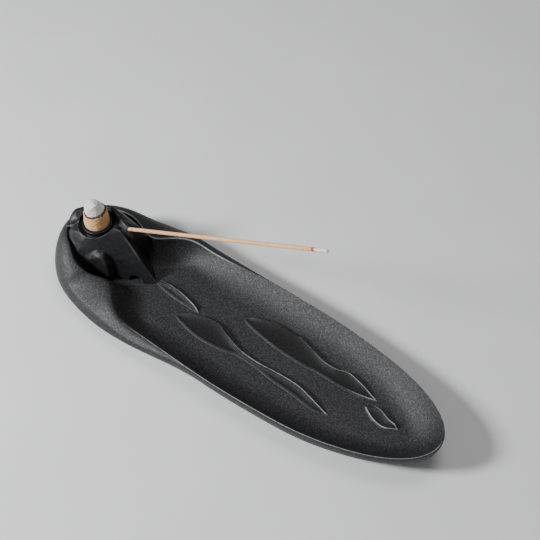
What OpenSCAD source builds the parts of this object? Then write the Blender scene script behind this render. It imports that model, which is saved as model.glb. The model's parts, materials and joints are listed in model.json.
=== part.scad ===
// Backflow incense burner: a long ceramic dish with a raised shoulder at its heel end, a rock
// that seats a smoke cone and holds a stick, and low islands that split the smoke as it runs.
// +X runs from the rock towards the tip, +Z is up, and the origin is under the middle of the dish.

/* [Dish] */
// Length from the middle of the dish to its tip
tip_x = 120; // [112:1:128]
// Length from the middle of the dish to its heel
heel_x = 122; // [116:1:128]
// Half width of the rim at its widest
rim_half_w = 35.6; // [33:0.2:38]
// Extra half width of the shoulder beside the rock
shoulder_swell = 4.4; // [3:0.2:6]
// Height of the rim along the middle
rim_z = 14.2; // [12:0.2:16]
// Extra height of the rim at the tip
tip_rise = 4.8; // [2:0.2:7]
// Extra height of the shoulder at the heel
heel_rise = 12.5; // [10:0.5:14]
// Height of the river bed
bed_z = 5.5; // [4.5:0.1:7]

/* [Islands] */
// Height of an island's sharp crest above the river bed
island_crest = 3.2; // [2:0.1:4]
// Height of an island's low shore above the river bed
island_shore = 0.9; // [0.5:0.1:1.4]

/* [Rock] */
// Height of the cone's seat
seat_z = 31.8; // [31.4:0.1:32.2]
// Radius of the cone's seat
seat_r = 8.2; // [7.6:0.1:8.6]
// Outer radius of the ash moat round the seat
moat_r = 10.5; // [10:0.1:10.8]
// Depth of the ash moat
moat_depth = 3; // [2:0.1:3.2]
// Radius of the smoke hole in the seat
smoke_hole_r = 2.5; // [2:0.1:3]
// Radius of the smoke gallery under the rock
gallery_r = 5; // [4:0.2:5.4]
// Radius of the cave where the smoke leaves
cave_r = 3.6; // [3.3:0.1:3.8]

/* [Cone] */
// Radius of the cone at its base
cone_r = 6.9; // [6.5:0.1:7.2]
// Radius of the cone where it burns
cone_top_r = 6.1; // [5.8:0.1:6.4]
// Height of the unburnt cone
cone_h = 9; // [8:0.5:16]
// Height of the ash left standing on the cone
ash_h = 6.2; // [4:0.2:8]
// Slant of the line that the cone has burnt down to
burn_slant = 10; // [0:1:14]
// Radius of the cone's smoke bore
cone_bore_r = 2; // [1.5:0.1:2.4]

/* [Stick] */
// Radius of the stick
stick_r = 1; // [0.8:0.05:1.05]
// Radius of the hole that the stick stands in
stick_hole_r = 1.2; // [1.15:0.05:1.4]
// Depth of that hole
stick_hole_depth = 11; // [8:0.5:11.5]
// Length of the stick outside the hole
stick_out = 143; // [90:1:160]
// Length of the burnt end
stick_ash_len = 8; // [4:0.5:20]
// Angle of the stick above the level
stick_rise = 28.4; // [24:0.2:34]

/* [Feet] */
// Radius of a foot pad
pad_r = 6; // [4:0.5:7]
// Thickness of a foot pad
pad_t = 2; // [1.5:0.1:2.5]
// Height of the dish's foot ring above the table
foot_gap = 0.8; // [0.5:0.1:1]

/* [Hidden] */

around = 112;          // points round each ring of the dish
tip_power = 2.6;       // outline exponents: a soft point at the tip, a blunt heel
heel_power = 4.6;
slope_w_heel = 12;     // width of the slope from the crest down to the bed, beside the rock
slope_w_tip = 17;      // the same from the middle of the dish to the tip
spine_tip = 88;        // the slope faces a line between these two ends
spine_heel = 95;
foot_inset = 4.5;      // how far the wall draws in under the rim, and how much further at the tip
foot_inset_tip = 3;
foot_ring_w = 3;
bulge_z = 6;           // height of the shoulder's widest line

seat_axis = [-97.8, 0.6];           // plan position of the cone
stick_mouth = [-79, 6.5, 33.5];     // where the stick leaves the rock
ember_len = 1.5;
seat_gap = 0.05;
pad_x_heel = -82;
pad_x_tip = 72;
pad_y_heel = 17;
pad_y_tip = 11.5;

glaze_black = [0.13, 0.13, 0.14];
rock_black = [0.05, 0.05, 0.055];
incense_tan = [0.80, 0.60, 0.42];
ash_grey = [0.80, 0.79, 0.77];

// ---------- shared functions ----------
function smooth(t) = let (c = max(0, min(1, t))) c * c * (3 - 2 * c);
function mix(a, b, t) = a + (b - a) * t;
function unit(v) = v / norm(v);
function bell(x, middle, spread) = exp(-pow((x - middle) / spread, 2) / 2);

// A smooth curve through the rows of a list; u runs from 0 to the last row's number.
function row(list, i) = list[max(0, min(len(list) - 1, i))];
function spline(list, u) =
    let (i = min(floor(u), len(list) - 2), t = u - i,
         a = row(list, i - 1), b = row(list, i), c = row(list, i + 1), d = row(list, i + 2))
    0.5 * (2 * b + (c - a) * t + (2 * a - 5 * b + 4 * c - d) * t * t + (3 * b - a - 3 * c + d) * t * t * t);

// A closed solid through rings that all have the same number of points. Each flat end is laid
// with rungs from one half of its ring to the other.
module loft(rings) {
    n = len(rings[0]);
    last = len(rings) - 1;
    polyhedron(
        points = [for (r = rings) each r],
        faces = concat(
            [for (i = [0:n / 2 - 2])
                each let (a = i, b = i + 1, c = n - 2 - i, d = n - 1 - i) [[a, b, c], [a, c, d]]],
            [for (i = [0:n / 2 - 2])
                each let (a = last * n + i, b = a + 1, c = last * n + n - 2 - i, d = c + 1) [[c, b, a], [d, c, a]]],
            [for (k = [0:last - 1], i = [0:n - 1])
                each let (j = (i + 1) % n)
                    [[k * n + i, (k + 1) * n + i, (k + 1) * n + j], [k * n + i, (k + 1) * n + j, k * n + j]]]),
        convexity = 8);
}

// ---------- dish ----------
function half_width(x) =
    x >= 0 ? rim_half_w * sqrt(max(0, 1 - pow(x / tip_x, tip_power)))
           : (rim_half_w + shoulder_swell * smooth(-x / 60)) * sqrt(max(0, 1 - pow(-x / heel_x, heel_power)));
function outline(a) = let (x = cos(a) * (cos(a) >= 0 ? tip_x : heel_x)) [x, sign(sin(a)) * half_width(x)];
function inward(a) = let (t = unit(outline(a + 0.4) - outline(a - 0.4))) [-t.y, t.x];

// The crest is the line where the outside turns over into the river bed. It runs along the
// outline at the tip, draws in to the rock at x = -79 and follows the rock round the heel.
function crest_z(x) =
    rim_z + tip_rise * pow(max(0, (x - 40) / 80), 2) - bell(x, -38, 12)
    + heel_rise * (0.34 * smooth((-x - 42) / 30) + 0.66 * smooth((-x - 84) / 32));
function crest_inset(x) = 0.5 + 5.5 * smooth(-x / 50) + 13 * bell(x, -79, 11) + 4.2 * bell(x, -109, 9);
function foot_in(x) = foot_inset + foot_inset_tip * smooth((x - 50) / 60);
function widest_z(x) = mix(crest_z(x) - 1.2, bulge_z, smooth(-x / 70));

function shell_point(a, inset, z) = let (p = outline(a) + inward(a) * inset) [p.x, p.y, z];
function crest_point(a) = let (x = outline(a).x) shell_point(a, crest_inset(x), crest_z(x));
function shoulder_point(a, turn) =
    let (x = outline(a).x, low = widest_z(x))
    shell_point(a, crest_inset(x) * (1 - cos(turn)), mix(low, crest_z(x), sin(turn)));
function wall_point(a, share) =
    let (x = outline(a).x) shell_point(a, foot_in(x) * pow(1 - share, 1.6), mix(foot_gap, widest_z(x), share));
function foot_point(a, inset, z) = shell_point(a, foot_in(outline(a).x) + inset, z);
function slope_w(x) = mix(slope_w_heel, slope_w_tip, smooth((x + 60) / 40));
function slope_point(a, share) =
    let (c = crest_point(a), s = cos(a) * (cos(a) >= 0 ? spine_tip : spine_heel),
         step = unit([s - c.x, -c.y]) * slope_w(outline(a).x) * share)
    [c.x + step.x, c.y + step.y, mix(bed_z, c.z, pow(1 - share, 2))];

angles = [for (i = [0:around - 1]) 360 * (i + 0.5) / around];
dish_rings = concat(
    [[for (a = angles) foot_point(a, foot_ring_w + 0.6, pad_t)]],
    [[for (a = angles) foot_point(a, foot_ring_w, foot_gap)]],
    [for (share = [0, 0.35, 0.7, 1]) [for (a = angles) wall_point(a, share)]],
    [for (turn = [18:18:90]) [for (a = angles) shoulder_point(a, turn)]],
    [for (share = [0.08, 0.2, 0.34, 0.5, 0.68, 1]) [for (a = angles) slope_point(a, share)]]);

// Each row is a station along an island: its x, the y of its low shore and the y of its sharp crest.
island_at_rock = [[-60, 3, 3.1], [-54, 1.4, 4.3], [-46, 0.6, 4.2], [-38, 0.3, 2.9], [-28, 0.2, 0.4]];
island_near = [[-38.5, -8, -7.9], [-31, -10.3, -4.2], [-22, -12.2, -1.5], [-13, -12.6, -1], [-4, -11.6, -4.2],
               [6, -9.3, -7.2], [18, -9.6, -7.8], [30, -11, -7], [43, -11.8, -7.2], [54, -12.9, -9.6],
               [64, -11.2, -11.1]];
island_far = [[-7, 12, 12.1], [0, 9.7, 15], [10, 7.8, 17.6], [22, 6.3, 18.6], [34, 6, 15.8], [44, 6.8, 13],
              [52, 6.7, 12.7], [59, 6.6, 14.6], [68, 7.4, 12.9], [79, 10.4, 10.5]];
island_drop = [[76, 3.8, 3.9], [79.5, 1.6, 5.6], [84, -0.4, 5.7], [90, -0.9, 3.4], [96, 2.6, 2.7]];

// An island climbs from its low shore to its crest, and drops steeply behind it.
function island_section(list, u) =
    let (s = spline(list, u), x = s[0], shore = s[1], crest = s[2],
         swell = mix(0.25, 1, smooth(4 * min(u, len(list) - 1 - u) / (len(list) - 1))),
         top = island_crest * swell, low = island_shore * swell)
    [[x, crest + 0.8, bed_z - 1], [x, crest, bed_z + top], [x, shore, bed_z + low], [x, shore - 0.4, bed_z - 1]];
module island(list) {
    steps = 4 * (len(list) - 1);
    loft([for (i = [0:steps]) island_section(list, i / 4)]);
}

module river_dish() {
    color(glaze_black) {
        loft(dish_rings);
        island(island_at_rock);
        island(island_near);
        island(island_far);
        island(island_drop);
    }
}

// ---------- rock ----------
// A block of rock is the hull of its corners, each worn round.
corner_r = 1.2;
module block(corners) {
    hull() for (c = corners) translate(c) sphere(r = corner_r, $fn = 10);
}
root_z = 4.6;   // centres of the rock's lowest corners, under the bed

// The body of the rock, under the seat
core_rock = [[-107.5, -9.5, 28], [-100, -9.8, 29.4], [-92, -9.4, 30], [-87.8, -3.6, 31.2], [-86, 2, 32.2],
             [-87, 10, 31], [-97, 13, 31], [-108, 9, 30], [-111.5, -9, 21.5], [-105.2, -14.4, 18.6],
             [-111, -9, root_z + 8], [-104, -15, root_z + 6], [-92, -12.6, root_z + 4], [-82, -6, root_z],
             [-76, 8, root_z], [-80, 16, root_z], [-96, 17, root_z + 4], [-110, 9, root_z + 8]];
// The spur whose worn back runs down the middle of the dish
spur_rock = [[-92.4, -9, 29.8], [-88.4, -4, 31.2], [-86.2, 2, 32.4], [-83.4, 2.6, 31.6], [-77, 2.4, 25.6],
             [-69, 2, 15.6], [-60.6, 2.4, root_z + 0.5], [-92, -12, root_z + 6], [-84, -8.4, root_z],
             [-72, -3.4, root_z], [-65.5, -0.6, root_z], [-61.6, 1, root_z],
             [-62.6, 4.2, root_z], [-69, 9, root_z], [-76, 12, root_z], [-84, 12, root_z + 14]];
// The crag behind the seat, whose end face holds the stick
crag_rock = [[-95.6, 10.8, 35.6], [-90.6, 9.4, 34.9], [-86.8, 8.6, 34], [-81.8, 8, 33.4], [-80.6, 6.5, 33.6],
             [-79.4, 6.2, 31.2], [-81.5, 5.2, 31.2], [-77.6, 6.4, 28.6], [-96.6, 12.8, 32.4], [-90.4, 12.8, 31.4],
             [-83.4, 12.8, 29.6], [-78.6, 12, 29.5], [-74.6, 12.2, 26], [-74.4, 12.2, root_z + 7],
             [-79, 17, root_z + 4], [-96, 17, root_z + 6], [-86, 5, root_z + 6], [-76.5, 5.8, root_z + 14]];
// The knob that stands over the heel
knob_rock = [[-112.4, -8, 26.6], [-107.4, -3.6, 27.6], [-113.4, 0.2, 31.4], [-110.6, 3, 31.6], [-108.6, -0.6, 31.2],
             [-116.4, 1.6, 27.4], [-111, 8, 28.4], [-105, 9.6, 29], [-114.6, -4, 20], [-114.6, 4, 20],
             [-106, 2, 20]];
// The boulder that leans on the near face
boulder_rock = [[-92, -10.4, 22.6], [-88.4, -9.8, 23.2], [-85, -9.4, 20.6], [-83.6, -9.4, 15], [-84.4, -9.2, 9],
                [-96, -12.2, 18.6], [-97, -13.4, 11], [-89, -13, 10], [-90, -12.6, 18], [-94, -8, 12]];

module along_stick(length, radius, from) {
    translate(stick_mouth) rotate([0, 90 - stick_rise, 0]) translate([0, 0, from])
        cylinder(h = length, r = radius, $fn = 32);
}

module mountain_rock() {
    color(rock_black) difference() {
        union() {
            block(core_rock);
            block(spur_rock);
            block(crag_rock);
            block(knob_rock);
            block(boulder_rock);
        }
        loft(dish_rings);
        island(island_at_rock);
        // room over the seat, and the moat round it
        translate([seat_axis.x, seat_axis.y, seat_z]) cylinder(h = 20, r = moat_r, $fn = 64);
        translate([seat_axis.x, seat_axis.y, seat_z - moat_depth]) difference() {
            cylinder(h = moat_depth + 1, r = moat_r, $fn = 64);
            translate([0, 0, -1]) cylinder(h = moat_depth + 3, r = seat_r, $fn = 64);
        }
        // smoke hole, gallery and cave
        translate([seat_axis.x, seat_axis.y, 8]) cylinder(h = seat_z, r = smoke_hole_r, $fn = 48);
        translate([seat_axis.x - 2, seat_axis.y + 1, 9]) rotate([0, 90, 0]) cylinder(h = 22, r = gallery_r, $fn = 48);
        translate([-79, 3.2, 7.8]) rotate([0, 90, -35]) cylinder(h = 24, r = cave_r, $fn = 48);
        along_stick(stick_hole_depth + 12, stick_hole_r, -stick_hole_depth);
    }
}

// ---------- cone ----------
// The cone has burnt down to a line that slants, and its ash leans the same way.
module at_seat(height) {
    translate([seat_axis.x, seat_axis.y, seat_z + seat_gap + height]) children();
}
module at_burn(height) {
    at_seat(cone_h) rotate(a = burn_slant, v = [0.6, -0.8, 0]) translate([0, 0, height]) children();
}

module cone_body() {
    color(incense_tan) difference() {
        at_seat(0) rotate_extrude($fn = 96)
            polygon([[0, 0], [cone_r - 0.5, 0], [cone_r, 0.5], [cone_r, 3], [cone_top_r, cone_h + 3], [0, cone_h + 3]]);
        at_burn(0) cylinder(h = 12, r = 12, $fn = 48);
        at_seat(-1) cylinder(h = cone_h * 0.6 + 1, r = cone_bore_r, $fn = 48);
    }
}

module cone_ember() {
    color([0.16, 0.09, 0.06]) at_burn(0) cylinder(h = 0.7, r1 = cone_top_r - 0.1, r2 = cone_top_r - 0.4, $fn = 96);
}

module cone_ash() {
    base_r = cone_top_r - 0.5;
    color(ash_grey) at_burn(0.7) rotate_extrude($fn = 96)
        polygon(concat([[0, 0]], [for (a = [0:9:90]) [base_r * pow(cos(a), 0.75), ash_h * pow(sin(a), 1.15)]]));
}

// ---------- stick ----------
module stick_body() {
    color(incense_tan) along_stick(stick_out - stick_ash_len - ember_len + stick_hole_depth - 0.3, stick_r,
                                   0.3 - stick_hole_depth);
}
module stick_ember() {
    color([0.45, 0.12, 0.12]) along_stick(ember_len, stick_r - 0.05, stick_out - stick_ash_len - ember_len);
}
module stick_ash() {
    color([0.72, 0.66, 0.58]) along_stick(stick_ash_len, stick_r - 0.08, stick_out - stick_ash_len);
}

// ---------- feet ----------
module foot_pad(x, y) {
    color([0.08, 0.08, 0.08]) translate([x, y, 0]) cylinder(h = pad_t, r = pad_r, $fn = 64);
}

river_dish();
mountain_rock();
cone_body();
cone_ember();
cone_ash();
stick_body();
stick_ember();
stick_ash();
foot_pad(pad_x_heel, -pad_y_heel);  // foot_pad_heel_near
foot_pad(pad_x_heel, pad_y_heel);  // foot_pad_heel_far
foot_pad(pad_x_tip, -pad_y_tip);  // foot_pad_tip_near
foot_pad(pad_x_tip, pad_y_tip);  // foot_pad_tip_far
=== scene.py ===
"""A backflow incense burner: speckled charcoal dish with islands, black rock, burning cone and stick.

The shapes are worked out in millimetres, in the CAD model's frame, and made into meshes in metres.
"""

import json
import math

import bmesh
import bpy
import numpy as np
from mathutils import Matrix, Vector


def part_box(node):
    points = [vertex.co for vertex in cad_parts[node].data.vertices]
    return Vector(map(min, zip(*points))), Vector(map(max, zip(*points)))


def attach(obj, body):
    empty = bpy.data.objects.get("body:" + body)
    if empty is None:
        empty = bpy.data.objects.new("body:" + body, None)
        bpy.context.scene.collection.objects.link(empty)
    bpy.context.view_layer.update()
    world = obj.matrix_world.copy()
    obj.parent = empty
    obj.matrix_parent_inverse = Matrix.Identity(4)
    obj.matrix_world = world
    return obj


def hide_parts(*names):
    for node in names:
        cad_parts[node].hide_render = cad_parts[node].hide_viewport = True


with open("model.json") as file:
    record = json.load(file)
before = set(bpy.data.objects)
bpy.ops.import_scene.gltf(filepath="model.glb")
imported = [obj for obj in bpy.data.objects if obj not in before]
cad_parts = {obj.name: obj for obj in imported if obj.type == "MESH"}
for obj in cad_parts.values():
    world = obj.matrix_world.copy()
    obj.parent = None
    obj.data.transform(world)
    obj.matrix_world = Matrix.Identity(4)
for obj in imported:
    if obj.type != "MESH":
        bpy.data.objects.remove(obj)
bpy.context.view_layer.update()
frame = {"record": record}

MM = 0.001
BODY_FIXED, BODY_CONE, BODY_STICK = "burner", "cone", "stick"


def corners_mm(node):
    """Lowest and highest corner of a CAD node, in millimetres."""
    low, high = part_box(node)
    return np.array(low) / MM, np.array(high) / MM


# ---------------------------------------------------------------- shared sums
def smooth_step(t):
    c = np.clip(t, 0.0, 1.0)
    return c * c * (3 - 2 * c)


def mix(a, b, t):
    return a + (b - a) * t


def bell(x, middle, spread):
    return np.exp(-(((x - middle) / spread) ** 2) / 2)


def spline(rows, u):
    """Catmull-Rom curve through the rows; u runs from 0 to the last row's number."""
    rows = np.asarray(rows, float)
    last = len(rows) - 1
    i = np.clip(np.floor(u).astype(int), 0, last - 1)
    t = (u - i)[:, None]
    a, b = rows[np.clip(i - 1, 0, last)], rows[i]
    c, d = rows[np.clip(i + 1, 0, last)], rows[np.clip(i + 2, 0, last)]
    return 0.5 * (2 * b + (c - a) * t + (2 * a - 5 * b + 4 * c - d) * t**2 + (3 * b - a - 3 * c + d) * t**3)


def waves(points, length, seed, count=7):
    """Soft seeded unevenness, about -1 to 1: a sum of sine waves of about that length."""
    rng = np.random.default_rng(seed)
    total = np.zeros(len(points))
    for _ in range(count):
        way = rng.normal(size=3)
        way /= np.linalg.norm(way)
        pace = 2 * math.pi / (length * rng.uniform(0.7, 1.5))
        total += np.sin(points @ way * pace + rng.uniform(0, 2 * math.pi))
    return total / math.sqrt(count)


# ---------------------------------------------------------------- meshes and pieces
def new_piece(name, points_mm, faces, material, body, replaced, attributes=None):
    """Makes a smooth-shaded piece in metres, gives it its material and ties it to the CAD frame."""
    mesh = bpy.data.meshes.new(name)
    mesh.from_pydata((np.asarray(points_mm) * MM).tolist(), [], faces)
    mesh.validate()
    shell = bmesh.new()
    shell.from_mesh(mesh)
    bmesh.ops.recalc_face_normals(shell, faces=shell.faces)
    shell.to_mesh(mesh)
    shell.free()
    for key, values in (attributes or {}).items():
        add_attribute(mesh, key, values)
    return adopt(bpy.data.objects.new(name, mesh), material, body, replaced)


def add_attribute(mesh, key, values):
    """Gives each vertex a number that the materials can read."""
    made = mesh.attributes.new(key, "FLOAT", "POINT")
    made.data.foreach_set("value", np.asarray(values, dtype=np.float32))


def adopt(piece, material, body, replaced):
    """Shades a piece smooth, gives it its material and puts it on its body in place of its CAD node."""
    if piece.name not in bpy.context.scene.collection.objects:
        bpy.context.scene.collection.objects.link(piece)
    piece.data.polygons.foreach_set("use_smooth", [True] * len(piece.data.polygons))
    piece.data.materials.clear()
    piece.data.materials.append(material)
    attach(piece, body)
    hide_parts(replaced)
    return piece


def lathe(rings, count):
    """Faces for rings of count points each, with a point at both ends."""
    faces = [[0, 1 + (i + 1) % count, 1 + i] for i in range(count)]
    for k in range(rings - 1):
        for i in range(count):
            a, b = 1 + k * count + i, 1 + k * count + (i + 1) % count
            faces.append([a, b, b + count, a + count])
    end = 1 + rings * count
    start = 1 + (rings - 1) * count
    faces += [[start + i, start + (i + 1) % count, end] for i in range(count)]
    return faces


# ---------------------------------------------------------------- dish
# The sums are the CAD model's, 0.05 mm shorter at each end, with a rounder crest and shoulder.
TIP_X, HEEL_X = 119.95, 121.95
RIM_HALF_W, SHOULDER_SWELL = 35.6, 4.4
RIM_Z, TIP_RISE, HEEL_RISE, BED_Z = 14.2, 4.8, 12.5, 5.5
TIP_POWER, HEEL_POWER = 2.6, 4.6
SLOPE_W_HEEL, SLOPE_W_TIP = 12.0, 17.0
SPINE_TIP, SPINE_HEEL = 88.0, 95.0
# Width of the crest's pale line of wear and painted highlight.
CREST_WEAR_AND_HIGHLIGHT_W = 0.30
FOOT_INSET, FOOT_INSET_TIP, FOOT_RING_W, FOOT_GAP = 4.5, 3.0, 3.0, 0.8
BULGE_Z = 6.0
PAD_TOP = float(corners_mm("foot_pad_tip_near")[1][2])
AROUND = 1080
RUNG_STEPS, UNDER_STEPS = 150, 12

# Each row is a station along an island: its x, the y of its low shore and the y of its sharp crest.
ISLANDS = {
    "at_rock": [(-60, 3, 3.1), (-54, 1.4, 4.3), (-46, 0.6, 4.2), (-38, 0.3, 2.9), (-28, 0.2, 0.4)],
    "near": [(-38.5, -8, -7.9), (-31, -10.3, -4.2), (-22, -12.2, -1.5), (-13, -12.6, -1), (-4, -11.6, -4.2),
             (6, -9.3, -7.2), (18, -9.6, -7.8), (30, -11, -7), (43, -11.8, -7.2), (54, -12.9, -9.6),
             (64, -11.2, -11.1)],
    "far": [(-7, 12, 12.1), (0, 9.7, 15), (10, 7.8, 17.6), (22, 6.3, 18.6), (34, 6, 15.8), (44, 6.8, 13),
            (52, 6.7, 12.7), (59, 6.6, 14.6), (68, 7.4, 12.9), (79, 10.4, 10.5)],
    "drop": [(76, 3.8, 3.9), (79.5, 1.6, 5.6), (84, -0.4, 5.7), (90, -0.9, 3.4), (96, 2.6, 2.7)],
}
ISLAND_CREST, ISLAND_SHORE = 3.2, 0.9


def half_width(x):
    """Half the dish's width in plan."""
    tip = RIM_HALF_W * np.sqrt(np.maximum(0, 1 - (np.maximum(x, 0) / TIP_X) ** TIP_POWER))
    heel = (RIM_HALF_W + SHOULDER_SWELL * smooth_step(-x / 60)) * np.sqrt(
        np.maximum(0, 1 - (np.maximum(-x, 0) / HEEL_X) ** HEEL_POWER))
    return np.where(x >= 0, tip, heel)


def outline(a):
    """The dish's outline in plan at each angle."""
    x = np.cos(a) * np.where(np.cos(a) >= 0, TIP_X, HEEL_X)
    return np.stack([x, np.sign(np.sin(a)) * half_width(x)], 1)


def inward(a):
    """The way into the dish, square to its outline."""
    step = math.radians(0.4)
    t = outline(a + step) - outline(a - step)
    t /= np.linalg.norm(t, axis=1)[:, None]
    return np.stack([-t[:, 1], t[:, 0]], 1)


def crest_z(x):
    """Height of the crest: low in the middle, a little up at the tip, high round the heel."""
    return (RIM_Z + TIP_RISE * np.maximum(0, (x - 40) / 80) ** 2 - bell(x, -38, 12)
            + HEEL_RISE * (0.34 * smooth_step((-x - 42) / 30) + 0.66 * smooth_step((-x - 84) / 32)))


def crest_inset(x):
    """How far the crest lies inside the outline: far in at the shoulder beside the rock."""
    return 0.5 + 5.5 * smooth_step(-x / 50) + 13 * bell(x, -79, 11) + 4.2 * bell(x, -109, 9)


def slope_w(x):
    """Width of the slope from the crest down to the bed."""
    return mix(SLOPE_W_HEEL, SLOPE_W_TIP, smooth_step((x + 60) / 40))


def soft_shoulder(x, y):
    """Where the near crest is a broad round shoulder, 0 to 1."""
    return smooth_step((-y - 8) / 6) * smooth_step((x + 91) / 7) * smooth_step((-30 - x) / 26)


def dish_profile(a):
    """Points down each angle's profile, from the underside out, up, over the crest and down to the bed."""
    plan, within = outline(a), inward(a)
    x = plan[:, 0]
    top, inset = crest_z(x), crest_inset(x)
    widest = mix(top - 1.2, BULGE_Z, smooth_step(-x / 70))
    foot = FOOT_INSET + FOOT_INSET_TIP * smooth_step((x - 50) / 60)

    def at(inset_now, z):
        flat = plan + within * np.broadcast_to(inset_now, x.shape)[:, None]
        return np.column_stack([flat, np.broadcast_to(z, x.shape)])

    rings = [at(foot + FOOT_RING_W + 0.9, PAD_TOP + 0.02)]
    for share in (0.3, 0.6, 0.85):
        rings.append(at(foot + FOOT_RING_W + 0.9 - 0.6 * share, PAD_TOP - (PAD_TOP - FOOT_GAP) * share))
    rings += [at(foot + FOOT_RING_W * s, FOOT_GAP + 0.12 * (2 * s - 1) ** 4) for s in (0.95, 0.7, 0.4, 0.12)]
    for share in np.linspace(0.03, 1, 18):
        rings.append(at(foot * (1 - share) ** 1.6, mix(FOOT_GAP, widest, share)))
    for turn in np.radians(np.concatenate([np.arange(4, 76, 4), np.arange(77, 90, 1.5)])):
        rings.append(at(inset * (1 - math.cos(turn)), mix(widest, top, math.sin(turn))))
    crest = at(inset, top)
    first_slope = len(rings)
    rings.append(crest)
    spine = np.cos(a) * np.where(np.cos(a) >= 0, SPINE_TIP, SPINE_HEEL)
    step = np.column_stack([spine - crest[:, 0], -crest[:, 1]])
    step *= (slope_w(x) / np.linalg.norm(step, axis=1))[:, None]
    soft = soft_shoulder(crest[:, 0], crest[:, 1])
    for share in np.concatenate([np.linspace(0.009, 0.12, 12), np.linspace(0.145, 1, 28)]):
        z = mix(BED_Z, crest[:, 2], (1 - share) ** mix(2, 1.5, soft))
        rings.append(np.column_stack([crest[:, :2] + step * share, z]))
    rings = np.array(rings)
    # The crest is rounded over about half a millimetre, and over some millimetres at the soft shoulder.
    for reach, times, share in ((7, 5, np.ones(len(x))), (19, 150, soft)):
        low, high = first_slope - reach, first_slope + reach
        for _ in range(times):
            middle = rings[low:high].copy()
            even = 0.5 * middle + 0.25 * (rings[low - 1:high - 1] + rings[low + 1:high + 1])
            rings[low:high] = mix(middle, even, share[:, None])
    return rings, first_slope


def island_relief(points):
    """For each plan point: the islands' height over the bed, wear and painted highlights on their edges, and
    their smooth glaze, run on behind the crest as painted shade.
    """
    x, y = points[:, 0], points[:, 1]
    height, edge, smooth_top_and_lee_shade = np.zeros(len(x)), np.zeros(len(x)), np.zeros(len(x))
    for rows in ISLANDS.values():
        last = len(rows) - 1
        fine = spline(rows, np.linspace(0, last, 400))
        share = np.interp(x, fine[:, 0], np.linspace(0, 1, 400), left=-1, right=-1)
        inside = share >= 0
        shore, crest = np.interp(x, fine[:, 0], fine[:, 1]), np.interp(x, fine[:, 0], fine[:, 2])
        ends = np.minimum(share, 1 - share)
        swell = np.where(inside, smooth_step(7 * ends + 0.1), 0)
        rise = np.clip((y - shore) / np.maximum(crest - shore, 0.15), 0, 1)
        leaf = mix(ISLAND_SHORE, ISLAND_CREST, 0.3 * rise + 0.7 * rise**3.2)
        lip = 0.1 * bell(y, shore + 0.4, 0.4)
        before = smooth_step((y - shore + 0.55) / 0.75)
        after = 1 - smooth_step((y - crest + 0.1) / 0.95)
        height = np.maximum(height, swell * (leaf + lip) * before * after)
        # Pale lines on each island's crest and shore, partly wear and partly painted highlight where the
        # edges catch the light.
        edge_wear_and_highlight = mix(0.12, 1.0, share) * bell(y, crest - 0.1, 0.2)
        edge_wear_and_highlight += mix(0.08, 0.85, smooth_step((x - 55) / 25)) * bell(y, shore + 0.15, 0.22)
        edge = np.maximum(edge, edge_wear_and_highlight * np.clip(swell * 4, 0, 1) * inside)
        # The smooth black glaze runs on a little behind the crest as painted shade, where the crest's shadow
        # falls.
        lee_painted_shade = 1 - smooth_step((y - crest - 0.7) / 1.5)
        smooth_top_and_lee_shade = np.maximum(smooth_top_and_lee_shade, np.clip(swell * 2, 0, 1) * before * lee_painted_shade * inside)
    return height, np.clip(edge, 0, 1), np.clip(smooth_top_and_lee_shade, 0, 1)


def bridge(ring_index, ring_points, steps, first_new):
    """Fills a flat ring with rungs from one side to the other. Returns the new points and all the faces."""
    n = len(ring_index)
    half = n // 2
    rows, points = [], []
    for k in range(half):
        if k in (0, half - 1):
            rows.append([ring_index[k], ring_index[n - 1 - k]])
            continue
        a, b = ring_points[k], ring_points[n - 1 - k]
        inner = [mix(a, b, s / steps) for s in range(1, steps)]
        ids = range(first_new + len(points), first_new + len(points) + len(inner))
        rows.append([ring_index[k], *ids, ring_index[n - 1 - k]])
        points += inner
    faces = [[rows[0][1], rows[0][0], *rows[1]]]
    for k in range(1, half - 2):
        p, q = rows[k], rows[k + 1]
        faces += [[p[j], q[j], q[j + 1], p[j + 1]] for j in range(steps)]
    faces.append([*reversed(rows[half - 2]), *rows[half - 1]])
    return np.array(points), faces


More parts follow.
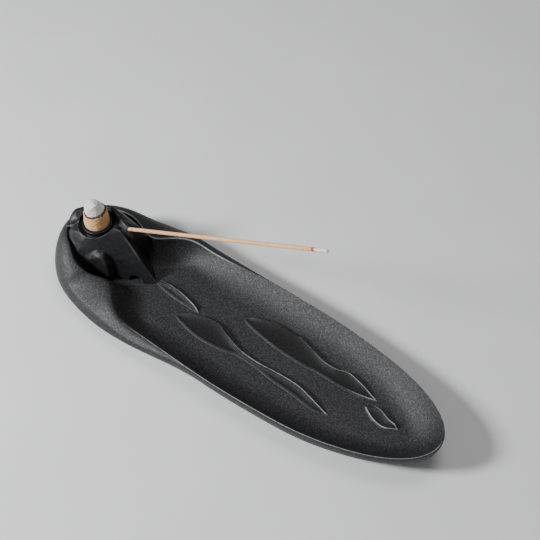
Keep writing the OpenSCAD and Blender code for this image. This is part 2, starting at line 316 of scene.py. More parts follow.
def build_dish(material):
    a = (np.arange(AROUND) + 0.5) * 2 * math.pi / AROUND
    rings, crest_ring = dish_profile(a)
    count = len(rings)
    points = rings.reshape(-1, 3)
    faces = []
    for k in range(count - 1):
        for i in range(AROUND):
            j = (i + 1) % AROUND
            faces.append([k * AROUND + i, k * AROUND + j, (k + 1) * AROUND + j, (k + 1) * AROUND + i])
    top_ids = [(count - 1) * AROUND + i for i in range(AROUND)]
    bed, bed_faces = bridge(top_ids, rings[-1], RUNG_STEPS, len(points))
    under, under_faces = bridge(list(range(AROUND)), rings[0], UNDER_STEPS, len(points) + len(bed))
    relief, edge, smooth_top_and_lee_shade = island_relief(bed)
    bed[:, 2] = BED_Z + relief
    lengths = np.linalg.norm(np.diff(rings, axis=0), axis=2)
    along = np.vstack([np.zeros(AROUND), np.cumsum(lengths, axis=0)])
    # A pale line is painted along the crest, partly wear and partly painted highlight where the sharp crest
    # faces the light: strong along the near side and round the tip, hardly on the shoulder and the far side.
    crest_wear_and_highlight = bell(along - along[crest_ring], 0.0, CREST_WEAR_AND_HIGHLIGHT_W)
    crest_x, crest_y = rings[crest_ring, :, 0], rings[crest_ring, :, 1]
    crest_wear_and_highlight *= 1 - 0.85 * smooth_step((-crest_y - 2) / 6) * smooth_step((-30 - crest_x) / 26)
    crest_wear_and_highlight *= 1 - 0.85 * smooth_step((crest_y + 4) / 8) * smooth_step((crest_x + 50) / 30)
    everything = np.vstack([points, bed, under])
    wear_and_highlight = np.concatenate([crest_wear_and_highlight.ravel(), edge, np.zeros(len(under))])
    polish_and_lee_shade = np.concatenate([np.zeros(len(points)), smooth_top_and_lee_shade, np.zeros(len(under))])
    # Cast clay is never quite true.
    above_foot = smooth_step((everything[:, 2] - 1.5) / 3)
    everything[:, 2] += 0.12 * waves(everything, 34, 3) * above_foot
    everything[:, 1] += 0.10 * waves(everything, 41, 5) * above_foot
    faces += [list(reversed(f)) for f in bed_faces] + under_faces
    return new_piece("dish_casting", everything, faces, material, BODY_FIXED, "river_dish",
                     {"wear_and_highlight": wear_and_highlight, "polish_and_lee_shade": polish_and_lee_shade})


# ---------------------------------------------------------------- rock
# The hulls of these blocks are melted together. Then the seat, the smoke's way and the stick's hole are cut.
ROOT_Z = 4.6
ROCK_BLOCKS = {
    "core": [(-107.5, -9.5, 28), (-87.8, -3.6, 31.2), (-86, 2, 32.2), (-87, 10, 31), (-97, 13, 31),
             (-108, 9, 30), (-112.4, -9.4, 22.3), (-107, -14.9, 20.8), (-101, -17.8, 17.2),
             (-94, -17.6, 11.4), (-111, -9, ROOT_Z + 8), (-104, -15, ROOT_Z + 6), (-82, -6, ROOT_Z),
             (-76, 8, ROOT_Z), (-80, 16, ROOT_Z), (-96, 17, ROOT_Z + 4), (-110, 9, ROOT_Z + 8)],
    "spur": [(-92.6, -7.8, 29.6), (-88.4, -4, 30.8), (-86.2, 2, 32.4), (-83.4, 2.6, 31.6), (-77, 2.4, 25.6),
             (-69, 2, 15.6), (-60.6, 2.4, ROOT_Z + 0.5), (-92, -12, ROOT_Z + 6), (-84, -8.4, ROOT_Z),
             (-72, -3.4, ROOT_Z), (-65.5, -0.6, ROOT_Z), (-61.6, 1, ROOT_Z), (-62.6, 4.2, ROOT_Z),
             (-69, 9, ROOT_Z), (-76, 12, ROOT_Z), (-84, 12, ROOT_Z + 14)],
    "crag": [(-95.6, 10.8, 35.6), (-90.6, 9.4, 34.9), (-86.8, 8.6, 34), (-81.8, 8, 33.4), (-80.6, 6.5, 33.6),
             (-79.4, 6.2, 31.2), (-81.5, 5.2, 31.2), (-77.6, 6.4, 28.6), (-96.6, 12.8, 32.4),
             (-90.4, 12.8, 31.4), (-83.4, 12.8, 29.6), (-78.6, 12, 29.5), (-74.6, 12.2, 26),
             (-74.4, 12.2, ROOT_Z + 7), (-79, 17, ROOT_Z + 4), (-96, 17, ROOT_Z + 6), (-86, 5, ROOT_Z + 6),
             (-76.5, 5.8, ROOT_Z + 14)],
}
KNOB = [(-111.6, -3.2, 28.4), (-111.8, 0, 30.2), (-110, 3, 30), (-109.4, -1.6, 29.2), (-112.6, 3.4, 26),
        (-108, 7, 26.4), (-112.4, -3, 20), (-112, 4, 20), (-106, 2, 20)]
KNOB_R = 3.3
LIP_R, LIP_Z = 10.0, 29.8
LIP_TURNS = np.radians((-145, -125, -105, -85, -65, -45, -25))
# Ridges rolled into the rock and painted pale along them: partly wear, partly painted highlight.
RIDGE_LINES = {
    "spur": [(-88.6, -1.2, 31.6), (-85.8, 1.6, 32.9), (-83.2, 2.6, 32.5), (-76.3, 2.4, 26.2),
             (-68.3, 2, 16.1), (-60, 2.4, 5.8)],
    "knob": [(-113.4, -8.2, 26.4), (-107.2, -4.2, 27.6)],
    "crag": [(-97, 11, 36), (-90.6, 9.2, 35.5), (-86.8, 8.4, 34.6), (-81.8, 7.8, 34.0)],
}
RIDGE_LINE_R = 0.6
# A painted highlight runs over the top and down the right side of the boulder.
BOULDER_HIGHLIGHT_EDGE = [(-93.5, -14.6, 20.4), (-91, -12.6, 23.4), (-88, -11.6, 24.2), (-84.8, -11.8, 22.4),
                (-82.4, -12.4, 18), (-81, -12.9, 11)]
BOULDER = [(-89.8, -9.8, 20.9), (-87, -9.6, 20.7), (-85.3, -9.8, 17), (-84.2, -10.2, 12), (-83.6, -10.6, 7.5),
           (-93.6, -12.2, 17.2), (-97, -14, 10), (-91, -13, 9)]
BOULDER_R = 3.3
CORNER_R = 1.2
MELT_VOXEL, SKIN_VOXEL = 0.36, 0.25
SEAT_X, SEAT_Y, SEAT_Z = -97.8, 0.6, 31.8
SEAT_R, MOAT_R, MOAT_DEPTH = 8.2, 10.5, 3.0
SMOKE_HOLE_R, SMOKE_HOLE_LOW = 2.5, 8.0
GALLERY_R, GALLERY_Z, GALLERY_LENGTH = 5.0, 9.0, 22.0
CAVE_R, CAVE_START, CAVE_LENGTH = 3.4, (-79, 3.2, 6.4), 24.0
CAVE_WAY = (math.cos(math.radians(-35)), math.sin(math.radians(-35)), 0)
STICK_MOUTH = np.array([-79.0, 6.5, 33.5])
STICK_HOLE_R, STICK_HOLE_DEPTH = 1.2, 11.0
JOINTS = {j["name"]: j for j in frame["record"]["behaviour"]["joints"]}
STICK_AXIS = Vector(JOINTS["stick_pull"]["axis"])


def hull_object(name, corners, radius):
    """The convex hull of small spheres at the corners, all in millimetres."""
    shell = bmesh.new()
    for c in corners:
        bmesh.ops.create_icosphere(shell, subdivisions=2, radius=radius, matrix=Matrix.Translation(Vector(c)))
    done = bmesh.ops.convex_hull(shell, input=shell.verts)
    inner = [g for g in done["geom_interior"] if isinstance(g, bmesh.types.BMVert)]
    bmesh.ops.delete(shell, geom=inner, context="VERTS")
    mesh = bpy.data.meshes.new(name)
    shell.to_mesh(mesh)
    shell.free()
    made = bpy.data.objects.new(name, mesh)
    bpy.context.scene.collection.objects.link(made)
    return made


def rod_object(name, start, way, length, radius, sides=64):
    """A closed rod in millimetres, used to cut."""
    shell = bmesh.new()
    way = Vector(way).normalized()
    turn = way.to_track_quat("Z", "Y").to_matrix().to_4x4()
    place = Matrix.Translation(Vector(start) + way * length / 2) @ turn
    bmesh.ops.create_cone(shell, cap_ends=True, segments=sides, radius1=radius, radius2=radius, depth=length,
                          matrix=place)
    mesh = bpy.data.meshes.new(name)
    shell.to_mesh(mesh)
    shell.free()
    made = bpy.data.objects.new(name, mesh)
    bpy.context.scene.collection.objects.link(made)
    return made


def settle(piece):
    """Applies the modifiers by taking the evaluated mesh."""
    graph = bpy.context.evaluated_depsgraph_get()
    mesh = bpy.data.meshes.new_from_object(piece.evaluated_get(graph))
    piece.modifiers.clear()
    old = piece.data
    piece.data = mesh
    bpy.data.meshes.remove(old)


def remove(*pieces):
    for p in pieces:
        mesh = p.data
        bpy.data.objects.remove(p)
        bpy.data.meshes.remove(mesh)


def join_and_remesh(parts, voxel):
    """Melts overlapping closed shells into one even skin."""
    shell = bmesh.new()
    for p in parts:
        shell.from_mesh(p.data)
    mesh = bpy.data.meshes.new("melted")
    shell.to_mesh(mesh)
    shell.free()
    made = bpy.data.objects.new("melted", mesh)
    bpy.context.scene.collection.objects.link(made)
    remesh(made, voxel)
    remove(*parts)
    return made


def remesh(piece, voxel):
    m = piece.modifiers.new("skin", "REMESH")
    m.mode = "VOXEL"
    m.voxel_size = voxel
    settle(piece)


def relax(piece, factor, times):
    m = piece.modifiers.new("relax", "SMOOTH")
    m.factor = factor
    m.iterations = times
    settle(piece)


def cut(piece, tool):
    m = piece.modifiers.new("cut", "BOOLEAN")
    m.operation = "DIFFERENCE"
    m.solver = "EXACT"
    m.object = tool
    settle(piece)
    remove(tool)


def read_points(mesh):
    flat = np.empty(len(mesh.vertices) * 3, dtype=np.float32)
    mesh.vertices.foreach_get("co", flat)
    return flat.reshape(-1, 3).astype(float)


def read_normals(mesh):
    flat = np.empty(len(mesh.vertices) * 3, dtype=np.float32)
    mesh.vertices.foreach_get("normal", flat)
    return flat.reshape(-1, 3).astype(float)


def sharpness(mesh, spread):
    """How far each vertex stands out over its neighbours, as a slope, evened out over the mesh."""
    points, normals = read_points(mesh), read_normals(mesh)
    ends = np.empty(len(mesh.edges) * 2, dtype=np.int32)
    mesh.edges.foreach_get("vertices", ends)
    a, b = ends.reshape(-1, 2).T
    way = points[b] - points[a]
    length = np.maximum(np.linalg.norm(way, axis=1), 1e-9)
    bend = np.zeros(len(points))
    links = np.zeros(len(points))
    for i, j, sign in ((a, b, 1), (b, a, -1)):
        np.add.at(bend, i, -(way * sign * normals[i]).sum(1) / length)
        np.add.at(links, i, 1)
    bend /= np.maximum(links, 1)
    for _ in range(spread):
        total = np.zeros(len(points))
        np.add.at(total, a, bend[b])
        np.add.at(total, b, bend[a])
        bend = 0.5 * bend + 0.5 * total / np.maximum(links, 1)
    return bend


def distance_to_line(points, line):
    """How far each point is from a line of joined corners."""
    line = np.asarray(line, float)
    nearest = np.full(len(points), 1e9)
    for a, b in zip(line[:-1], line[1:]):
        way = b - a
        share = np.clip((points - a) @ way / (way @ way), 0, 1)
        nearest = np.minimum(nearest, np.linalg.norm(points - a - share[:, None] * way, axis=1))
    return nearest


def build_rock(material):
    lip = [(SEAT_X + LIP_R * math.cos(t), SEAT_Y + LIP_R * math.sin(t), LIP_Z) for t in LIP_TURNS]
    blocks = {**ROCK_BLOCKS, "core": ROCK_BLOCKS["core"] + lip}
    parts = [hull_object(k, v, CORNER_R) for k, v in blocks.items()]
    parts.append(hull_object("boulder", BOULDER, BOULDER_R))
    parts.append(hull_object("knob", KNOB, KNOB_R))
    for line in RIDGE_LINES.values():
        parts += [hull_object("ridge", pair, RIDGE_LINE_R) for pair in zip(line[:-1], line[1:])]
    rock = join_and_remesh(parts, MELT_VOXEL)
    relax(rock, 0.5, 4)
    points, normals = read_points(rock.data), read_normals(rock.data)
    uneven = 0.16 * waves(points, 11, 11) + 0.05 * waves(points, 4, 12)
    rock.data.vertices.foreach_set("co", (points + normals * uneven[:, None]).astype(np.float32).ravel())
    rock.data.update()
    seat = (SEAT_X, SEAT_Y)
    up = (0, 0, 1)
    moat = rod_object("moat", (*seat, SEAT_Z - MOAT_DEPTH), up, MOAT_DEPTH + 20, MOAT_R, 128)
    cut(moat, rod_object("pedestal", (*seat, SEAT_Z - MOAT_DEPTH - 1), up, MOAT_DEPTH + 1, SEAT_R, 128))
    cut(rock, moat)
    cut(rock, rod_object("smoke_hole", (*seat, SMOKE_HOLE_LOW), up, SEAT_Z, SMOKE_HOLE_R))
    gallery_start = (SEAT_X - 2, SEAT_Y + 1, GALLERY_Z)
    cut(rock, rod_object("gallery", gallery_start, (1, 0, 0), GALLERY_LENGTH, GALLERY_R))
    cut(rock, rod_object("cave", CAVE_START, CAVE_WAY, CAVE_LENGTH, CAVE_R))
    start = STICK_MOUTH - np.array(STICK_AXIS) * STICK_HOLE_DEPTH
    cut(rock, rod_object("stick_hole", start, STICK_AXIS, STICK_HOLE_DEPTH + 12, STICK_HOLE_R))
    remesh(rock, SKIN_VOXEL)
    relax(rock, 0.5, 2)
    below_bed = [(x, y, z) for x in (-140, -40) for y in (-40, 40) for z in (-20, BED_Z - 0.4)]
    cut(rock, hull_object("under_bed", below_bed, 0.01))
    # Wear and painted highlights: on sharp ridges away from the seat and high up, along the drawn lines, and
    # over the top of the boulder.
    points = read_points(rock.data)
    wear_and_highlight = 0.55 * np.clip((sharpness(rock.data, 3) - 0.03) / 0.08, 0, 1)
    wear_and_highlight *= smooth_step((np.hypot(points[:, 0] - SEAT_X, points[:, 1] - SEAT_Y) - 9.4) / 1.0)
    wear_and_highlight *= smooth_step((points[:, 2] - 12.5) / 3)
    # The lines' painted highlight is brighter higher up.
    line_wear_and_highlight = mix(0.45, 0.9, smooth_step((points[:, 2] - 8) / 18))
    for line in RIDGE_LINES.values():
        wear_and_highlight = np.maximum(wear_and_highlight, line_wear_and_highlight * (1 - smooth_step((distance_to_line(points, line) - 0.4) / 0.35)))
    edge = spline(BOULDER_HIGHLIGHT_EDGE, np.linspace(0, len(BOULDER_HIGHLIGHT_EDGE) - 1, 40))
    wear_and_highlight = np.maximum(wear_and_highlight, 0.35 * (1 - smooth_step((distance_to_line(points, edge) - 0.4) / 1.8)))
    sand = 0.5 * smooth_step((-105.5 - points[:, 0]) / 2.5)
    rock.name = "rock_casting"
    rock.data.name = "rock_casting"
    rock.data.transform(Matrix.Scale(MM, 4))
    add_attribute(rock.data, "wear_and_highlight", wear_and_highlight)
    add_attribute(rock.data, "sand", sand)
    return adopt(rock, material, BODY_FIXED, "mountain_rock")


# ---------------------------------------------------------------- cone
CONE_LOW, CONE_HIGH = corners_mm("cone_body")
CONE_X, CONE_Y = float(CONE_LOW[0] + CONE_HIGH[0]) / 2, float(CONE_LOW[1] + CONE_HIGH[1]) / 2
CONE_Z = float(CONE_LOW[2])
CONE_R, CONE_TOP_R, CONE_H, CONE_BORE_R = 6.9, 6.1, 9.0, 2.0
BURN_SLANT = math.radians(10)
BURN_WAY = np.array([-0.8, -0.6])
EMBER_H, ASH_H = 0.7, 6.2
CONE_SIDES = 144


def cone_radius(z):
    """The full cone's side: it swells to the seat and narrows towards the burning end."""
    return np.where(z < 3, CONE_R, mix(CONE_R, CONE_TOP_R, (z - 3) / CONE_H))


def burn_frame():
    """Leans the burn line towards BURN_WAY."""
    return np.array(Matrix.Rotation(BURN_SLANT, 3, Vector((0.6, -0.8, 0))))


def grainy(points, size, depth, seed):
    """Powdery unevenness, mostly outwards and up."""
    centre = np.array([CONE_X, CONE_Y, CONE_Z + 4])
    out = points - centre
    out /= np.maximum(np.linalg.norm(out, axis=1), 1e-6)[:, None]
    return points + out * (depth * waves(points, size, seed, 12))[:, None]


def build_cone_body(material):
    turn = np.arange(CONE_SIDES) * 2 * math.pi / CONE_SIDES
    ring = np.column_stack([np.cos(turn), np.sin(turn)])
    lift = -(ring @ BURN_WAY) * math.tan(BURN_SLANT)
    rings = []
    for r, z in ((0.9 * CONE_BORE_R, 5.6), (CONE_BORE_R, 5.2), (CONE_BORE_R, 2.6), (CONE_BORE_R + 0.1, 0.15),
                 (CONE_BORE_R + 0.3, 0.0), (0.7 * CONE_R, 0.0), (CONE_R - 0.5, 0.0), (CONE_R - 0.15, 0.12),
                 (CONE_R, 0.5)):
        rings.append(np.column_stack([ring * r, np.full(CONE_SIDES, z)]))
    for s in np.linspace(0.08, 0.97, 22):
        z = 0.5 + s * (CONE_H + lift * CONE_TOP_R - 0.5)
        rings.append(np.column_stack([ring * cone_radius(z)[:, None], z]))
    top = CONE_H + lift * CONE_TOP_R
    edge = cone_radius(top)
    for inset, drop in ((0.05, 0.12), (0.25, 0.02), (0.6, 0.0), (2.5, 0.0)):
        r = edge - inset
        rings.append(np.column_stack([ring * r[:, None], CONE_H + lift * r - drop]))
    points = np.vstack([[[0, 0, 5.6]], *rings, [[0, 0, CONE_H]]]) + [CONE_X, CONE_Y, CONE_Z]
    above_seat = smooth_step((points[:, 2] - CONE_Z - 0.3) / 1.5)[:, None]
    bumpy = mix(points, grainy(grainy(points, 2.4, 0.06, 21), 0.9, 0.035, 22), above_seat)
    faces = lathe(len(rings), CONE_SIDES)
    return new_piece("cone_incense", bumpy, faces, material, BODY_CONE, "cone_body")


def burn_lathe(profile, centre_low, centre_high):
    """Turns a profile of (radius, height) about the axis of the slanting burn line."""
    turn = np.arange(CONE_SIDES) * 2 * math.pi / CONE_SIDES
    ring = np.column_stack([np.cos(turn), np.sin(turn)])
    rings = [np.column_stack([ring * r, np.full(CONE_SIDES, z)]) for r, z in profile]
    points = np.vstack([[[0, 0, centre_low]], *rings, [[0, 0, centre_high]]])
    return points, lathe(len(rings), CONE_SIDES)


def on_cone(points):
    """From the burn line's own frame to the burner's."""
    return points @ burn_frame().T + [CONE_X, CONE_Y, CONE_Z + CONE_H]


def build_cone_ember(material):
    r = CONE_TOP_R
    profile = [(r - 1.2, -0.95), (r - 0.1, -0.95), (r + 0.13, -0.8), (r + 0.12, 0.0), (r + 0.04, 0.3),
               (r - 0.25, 0.6), (r - 0.62, EMBER_H), (r - 2, EMBER_H)]
    points, faces = burn_lathe(profile, 0.0, EMBER_H)
    points = grainy(grainy(on_cone(points), 1.6, 0.08, 31), 0.7, 0.05, 32)
    return new_piece("cone_char", points, faces, material, BODY_CONE, "cone_ember")


def build_cone_ash(material):
    base = CONE_TOP_R - 0.72
    angles = np.radians(np.linspace(2, 88, 40))
    profile = [(base - 1.0, 0.0), (base - 0.15, 0.0)]
    profile += [(base * math.cos(t) ** 0.75, ASH_H * math.sin(t) ** 1.15) for t in angles]
    points, faces = burn_lathe(profile, 0.0, ASH_H)
    points[:, 2] += EMBER_H
    up = smooth_step(points[:, 2] / ASH_H)[:, None]
    points[:, :2] += BURN_WAY * 0.35 * up
    points = on_cone(points)
    bumps = grainy(grainy(grainy(points, 4.2, 0.16, 41), 1.7, 0.09, 42), 0.7, 0.045, 43)
    return new_piece("cone_ash_cap", bumps, faces, material, BODY_CONE, "cone_ash")


# ---------------------------------------------------------------- stick
def rod_between(node):
    """Middle, length and radius in millimetres of a CAD rod that lies along the stick's axis."""
    low, high = corners_mm(node)
    radius = (high[1] - low[1]) / 2
    lean = abs(STICK_AXIS.x)
    length = ((high[0] - low[0]) - 2 * radius * math.sqrt(1 - lean**2)) / lean
    return (low + high) / 2, float(length), float(radius)


def build_rod(name, node, material, profile, seed, rough):
    """profile gives (share of the length, share of the radius) from the lower to the upper end."""
    middle, length, radius = rod_between(node)
    turn = np.array(STICK_AXIS.to_track_quat("Z", "Y").to_matrix())
    sides = 40
    angle = np.arange(sides) * 2 * math.pi / sides
    ring = np.column_stack([np.cos(angle), np.sin(angle)])
    rings = []
    for share, wide in profile:
        rings.append(np.column_stack([ring * radius * wide, np.full(sides, (share - 0.5) * length)]))
    points = np.vstack([[[0, 0, -length / 2]], *rings, [[0, 0, length / 2 * (2 * profile[-1][0] - 1)]]])
    uneven = 1 + rough * waves(points, 2.2, seed) + 0.6 * rough * waves(points, 0.8, seed + 1)
    points[:, :2] *= np.minimum(uneven, 1.0)[:, None]
    points = points @ turn.T + middle
    return new_piece(name, points, lathe(len(rings), sides), material, BODY_STICK, node)


def build_stick(incense, ember, ash):
    long = [(0.0, 0.8), (0.002, 0.97)] + [(s, 1.0) for s in np.linspace(0.01, 0.995, 160)] + [(1.0, 0.99)]
    build_rod("stick_incense", "stick_body", incense, long, 51, 0.03)
    band = [(0.0, 0.98), (0.2, 1.0), (0.5, 0.99), (0.8, 1.0), (1.0, 0.95)]
    build_rod("stick_glow", "stick_ember", ember, band, 53, 0.04)
    burnt = [(0.0, 0.92)] + [(s, 0.93 + 0.07 * bell(s, 0.72, 0.22)) for s in np.linspace(0.04, 0.9, 40)]
    burnt += [(0.94, 0.85), (0.975, 0.65), (0.995, 0.35)]
    build_rod("stick_ash_end", "stick_ash", ash, burnt, 55, 0.07)


# ---------------------------------------------------------------- pads
def build_pad(node, material):
    low, high = corners_mm(node)
    radius, thick = (high[0] - low[0]) / 2, high[2] - low[2]
    angle = np.arange(64) * 2 * math.pi / 64
    ring = np.column_stack([np.cos(angle), np.sin(angle)])
    profile = [(0.9, 0.0), (0.96, 0.04), (0.99, 0.12), (1.0, 0.25), (1.0, 0.8), (0.985, 0.95), (0.96, 1.0)]
    rings = [np.column_stack([ring * radius * r, np.full(64, z * thick)]) for r, z in profile]
    points = np.vstack([[[0, 0, 0]], *rings, [[0, 0, thick]]]) + [*((low + high) / 2)[:2], low[2]]
    name = node.replace("foot_pad", "pad")
    return new_piece(name, points, lathe(len(rings), 64), material, BODY_FIXED, node)


# ---------------------------------------------------------------- materials
class Nodes:
    """A short way to write a material's node tree."""

    def __init__(self, name):
        self.material = bpy.data.materials.new(name)
        self.material.use_nodes = True
        self.tree = self.material.node_tree
        self.shader = next(n for n in self.tree.nodes if n.type == "BSDF_PRINCIPLED")
        self.where = self.add("ShaderNodeTexCoord").outputs["Object"]

    def add(self, kind, **settings):
        node = self.tree.nodes.new(kind)
        for key, value in settings.items():
            setattr(node, key, value)
        return node

    def join(self, source, target):
        self.tree.links.new(source, target)

    def noise(self, size_mm, detail=2.0, rough=0.5):
        node = self.add("ShaderNodeTexNoise")
        node.inputs["Scale"].default_value = 1 / (size_mm * MM)
        node.inputs["Detail"].default_value = detail
        node.inputs["Roughness"].default_value = rough
        self.join(self.where, node.inputs["Vector"])
        return node.outputs["Fac"]

    def cells(self, size_mm, output="Distance", feature="F1"):
        node = self.add("ShaderNodeTexVoronoi", feature=feature)
        node.inputs["Scale"].default_value = 1 / (size_mm * MM)
        self.join(self.where, node.inputs["Vector"])
        return node.outputs[output]

    def span(self, value, low, high, to_low=0.0, to_high=1.0):
        node = self.add("ShaderNodeMapRange", clamp=True)
        self.join(value, node.inputs["Value"])
        for key, number in (("From Min", low), ("From Max", high), ("To Min", to_low), ("To Max", to_high)):
            node.inputs[key].default_value = number
        return node.outputs["Result"]

    def sum(self, kind, a, b):
        node = self.add("ShaderNodeMath", operation=kind)
        for socket, value in zip(node.inputs, (a, b)):
            if isinstance(value, (int, float)):
                socket.default_value = value
            else:
                self.join(value, socket)
        return node.outputs[0]

    def blend(self, share, a, b):
        node = self.add("ShaderNodeMix", data_type="RGBA")
        self.join(share, node.inputs[0])
        for socket, value in ((node.inputs[6], a), (node.inputs[7], b)):
            if isinstance(value, tuple):
                socket.default_value = (*value, 1)
            else:
                self.join(value, socket)
        return node.outputs[2]

    def attribute(self, name):
        return self.add("ShaderNodeAttribute", attribute_name=name).outputs["Fac"]

    def bump(self, height, depth_mm, strength=1.0, after=None):
        node = self.add("ShaderNodeBump")
        node.inputs["Strength"].default_value = strength
        node.inputs["Distance"].default_value = depth_mm * MM
        self.join(height, node.inputs["Height"])
        if after is not None:
            self.join(after, node.inputs["Normal"])
        return node.outputs["Normal"]

    def finish(self, colour, roughness, normal, **more):
        """Sets the shader's inputs: a float is fixed, anything else is another node's output."""
        more.update(Base_Color=colour, Roughness=roughness, Normal=normal)
        for key, value in more.items():
            socket = self.shader.inputs[key.replace("_", " ")]
            if isinstance(value, float):
                socket.default_value = value
            else:
                self.join(value, socket)
        return self.material


def sandy_coat(n):
    """Colour and sparkle of the sandy charcoal glaze: dark body, grey grains and a few metallic flecks."""
    body = n.blend(n.span(n.noise(26, 3), 0.3, 0.7), (0.0026, 0.0026, 0.0028), (0.0052, 0.0052, 0.0056))
    body = n.blend(n.span(n.noise(0.95, 4, 0.7), 0.47, 0.66), body, (0.028, 0.028, 0.0305))
    fleck = n.span(n.cells(0.44, "Color"), 0.58, 0.95)
    fleck = n.sum("MULTIPLY", fleck, n.span(n.cells(0.48), 0.55, 0.25))
    return n.blend(fleck, body, (0.105, 0.107, 0.118)), fleck


def dish_glaze():
    """Sandy charcoal glaze, smooth and blacker on the islands with painted shade behind their crests, and
    pale on the edges from wear and painted highlights.
    """
    n = Nodes("dish_glaze")
    polish_and_lee_shade = n.attribute("polish_and_lee_shade")
    coat, fleck = sandy_coat(n)
    patches = n.span(n.noise(1.2, 3), 0.4, 0.7)
    smooth_black = n.blend(patches, (0.0022, 0.0022, 0.0025), (0.006, 0.006, 0.0066))
    # Smooth black on the island tops, and painted shade behind their crests.
    base = n.blend(n.span(polish_and_lee_shade, 0.1, 0.9, 0.0, 0.95), coat, smooth_black)
    rub_and_highlight = n.sum("MULTIPLY", n.attribute("wear_and_highlight"), n.span(n.noise(2.4, 4, 0.7), 0.2, 0.55, 0.45, 1.0))
    # Pale grey on the edges: wear and painted highlight.
    colour = n.blend(n.span(rub_and_highlight, 0.15, 0.95), base, (0.30, 0.30, 0.31))
    roughness = n.span(n.noise(0.8, 2), 0.3, 0.7, 0.46, 0.66)
    grain = n.bump(n.noise(0.85, 4, 0.7), 0.22, 1.0)
    grain = n.bump(n.noise(9, 2), 0.2, 0.5, after=grain)
    shine = n.span(polish_and_lee_shade, 0.1, 0.9, 0.4, 0.22)
    metal = n.sum("MULTIPLY", fleck, 0.6)
    return n.finish(colour, roughness, grain, Metallic=metal, Specular_IOR_Level=shine)


def rock_glaze():
    """Satin black glaze, grey along the ridges from wear and painted highlights, sandy on the knob over the
    heel.
    """
    n = Nodes("rock_glaze")
    base = n.blend(n.span(n.noise(12, 3), 0.3, 0.7), (0.005, 0.005, 0.006), (0.010, 0.010, 0.011))
    base = n.blend(n.span(n.noise(0.45, 2, 0.6), 0.58, 0.72), base, (0.035, 0.035, 0.038))
    coat = sandy_coat(n)[0]
    base = n.blend(n.attribute("sand"), base, coat)
    rub_and_highlight = n.sum("MULTIPLY", n.attribute("wear_and_highlight"), n.span(n.noise(2.4, 4, 0.6), 0.2, 0.5, 0.5, 1.0))
    # Grey on the ridges: wear and painted highlight.
    colour = n.blend(n.span(rub_and_highlight, 0.15, 0.95), base, (0.075, 0.075, 0.08))
    roughness = n.span(n.noise(3, 3), 0.3, 0.7, 0.38, 0.5)
    roughness = n.sum("MAXIMUM", roughness, n.span(n.attribute("wear_and_highlight"), 0.0, 0.3, 0.38, 0.62))
    skin = n.bump(n.noise(0.8, 3, 0.55), 0.05, 0.6)
    skin = n.bump(n.noise(5, 2), 0.10, 0.5, after=skin)
    return n.finish(colour, roughness, skin, Specular_IOR_Level=0.28)


def incense_powder():
    """Pressed tan powder with darker and paler grains."""
    n = Nodes("incense_powder")
    base = n.blend(n.span(n.noise(4, 3), 0.3, 0.7), (0.50, 0.26, 0.115), (0.62, 0.35, 0.165))
    base = n.blend(n.span(n.noise(0.35, 2), 0.56, 0.68), base, (0.42, 0.24, 0.13))
    base = n.blend(n.span(n.noise(0.3, 2, 0.6), 0.6, 0.7), base, (0.86, 0.68, 0.50))
    grain = n.bump(n.noise(0.3, 3, 0.6), 0.07, 0.8)
    return n.finish(base, 0.86, grain, Specular_IOR_Level=0.3)


def char_crust():
    """Dark brittle ring where the cone is burning."""
    n = Nodes("char_crust")
    base = n.blend(n.span(n.noise(0.8, 3), 0.35, 0.65), (0.012, 0.009, 0.008), (0.09, 0.05, 0.035))
    grain = n.bump(n.noise(0.4, 3, 0.6), 0.12, 0.9)
    return n.finish(base, 0.9, grain)


def loose_ash():
    """Pale ash with grey cracks and flakes."""
    n = Nodes("loose_ash")
    base = n.blend(n.span(n.noise(3.2, 4, 0.6), 0.3, 0.7), (0.50, 0.455, 0.42), (0.70, 0.655, 0.62))
    crack = n.span(n.cells(1.9, feature="DISTANCE_TO_EDGE"), 0.0, 0.07, 1.0, 0.0)
    crack = n.sum("MULTIPLY", crack, n.span(n.noise(3.5, 2), 0.45, 0.6))
    base = n.blend(crack, base, (0.28, 0.26, 0.24))
    grain = n.bump(n.noise(0.5, 4, 0.65), 0.16, 0.9)
    grain = n.bump(n.span(crack, 0, 1, 1, 0), 0.1, 0.6, after=grain)
    return n.finish(base, 0.95, grain, Specular_IOR_Level=0.25)


def stick_ash_coat():
    """Burnt end of the stick: peach-grey and powdery."""
    n = Nodes("stick_ash_coat")
    base = n.blend(n.span(n.noise(1.2, 3, 0.6), 0.3, 0.7), (0.52, 0.38, 0.29), (0.74, 0.62, 0.53))
    grain = n.bump(n.noise(0.35, 3, 0.6), 0.08, 0.9)
    return n.finish(base, 0.92, grain)


def stick_ember():
    """Dark red band where the stick is burning."""
    n = Nodes("stick_ember")
    base = n.blend(n.span(n.noise(0.6, 2), 0.35, 0.65), (0.16, 0.02, 0.03), (0.42, 0.06, 0.05))
    grain = n.bump(n.noise(0.3, 2), 0.06, 0.8)
    return n.finish(base, 0.8, grain)


def pad_rubber():
    n = Nodes("pad_rubber")
    base = n.blend(n.span(n.noise(2.5, 3), 0.3, 0.7), (0.018, 0.018, 0.019), (0.03, 0.03, 0.031))
    grain = n.bump(n.noise(0.5, 2), 0.05, 0.6)
    return n.finish(base, 0.8, grain)


def pale_floor():
    n = Nodes("pale_floor")
    base = n.blend(n.span(n.noise(60, 3), 0.3, 0.7), (0.60, 0.60, 0.60), (0.63, 0.63, 0.63))
    return n.finish(base, 0.75, n.bump(n.noise(3, 2), 0.02, 0.3), Specular_IOR_Level=0.2)


# ---------------------------------------------------------------- stage, light and camera
FLOOR_HALF = 6.0


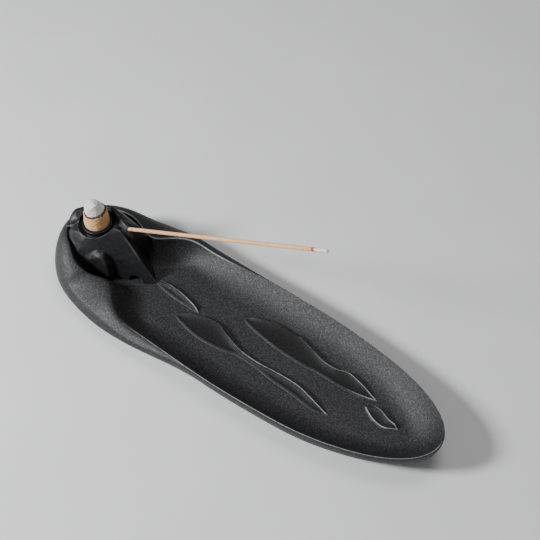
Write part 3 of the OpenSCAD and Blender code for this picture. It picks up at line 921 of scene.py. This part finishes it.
def build_stage():
    mesh = bpy.data.meshes.new("floor")
    corners = [(FLOOR_HALF * x, FLOOR_HALF * y, 0) for x, y in ((-1, -1), (1, -1), (1, 1), (-1, 1))]
    mesh.from_pydata(corners, [], [[0, 1, 2, 3]])
    mesh.materials.append(pale_floor())
    floor = bpy.data.objects.new("floor", mesh)
    bpy.context.scene.collection.objects.link(floor)


def soft_light(name, place, aim, size, power, colour=(1, 1, 1)):
    """A square area light: place, aim and size in metres, power in watts."""
    lamp = bpy.data.lights.new(name, "AREA")
    lamp.shape = "SQUARE"
    lamp.size = size
    lamp.energy = power
    lamp.color = colour
    made = bpy.data.objects.new(name, lamp)
    bpy.context.scene.collection.objects.link(made)
    made.location = place
    made.rotation_euler = (Vector(aim) - Vector(place)).to_track_quat("-Z", "Y").to_euler()


def build_lights():
    world = bpy.data.worlds.new("studio")
    bpy.context.scene.world = world
    world.use_nodes = True
    sky = world.node_tree.nodes["Background"]
    sky.inputs["Color"].default_value = (0.94, 0.95, 0.97, 1)
    sky.inputs["Strength"].default_value = 0.20
    middle = (-0.02, 0.0, 0.02)
    soft_light("key", (-0.52, -0.60, 0.54), middle, 0.18, 18.0, (0.97, 0.98, 1.0))
    soft_light("top", (0.0, 0.25, 0.90), middle, 0.45, 3.0)
    soft_light("fill", (0.60, -0.50, 0.50), middle, 0.60, 0.8)


def build_camera():
    camera = bpy.data.objects.new("camera", bpy.data.cameras.new("camera"))
    bpy.context.scene.collection.objects.link(camera)
    camera.data.sensor_width = 36.0
    camera.data.lens = 65.07
    camera.data.clip_start = 0.01
    place = Vector((0.1935, -0.2334, 0.4225))
    aim = Vector((-0.01806, 0.0510, 0.0))
    camera.location = place
    camera.rotation_euler = (aim - place).to_track_quat("-Z", "Y").to_euler()
    bpy.context.scene.camera = camera


build_camera()
build_stage()
build_lights()
build_dish(dish_glaze())
build_rock(rock_glaze())
incense = incense_powder()
ash = loose_ash()
build_cone_body(incense)
build_cone_ember(char_crust())
build_cone_ash(ash)
build_stick(incense, stick_ember(), stick_ash_coat())
rubber = pad_rubber()
for pad in ("foot_pad_heel_near", "foot_pad_heel_far", "foot_pad_tip_near", "foot_pad_tip_far"):
    build_pad(pad, rubber)
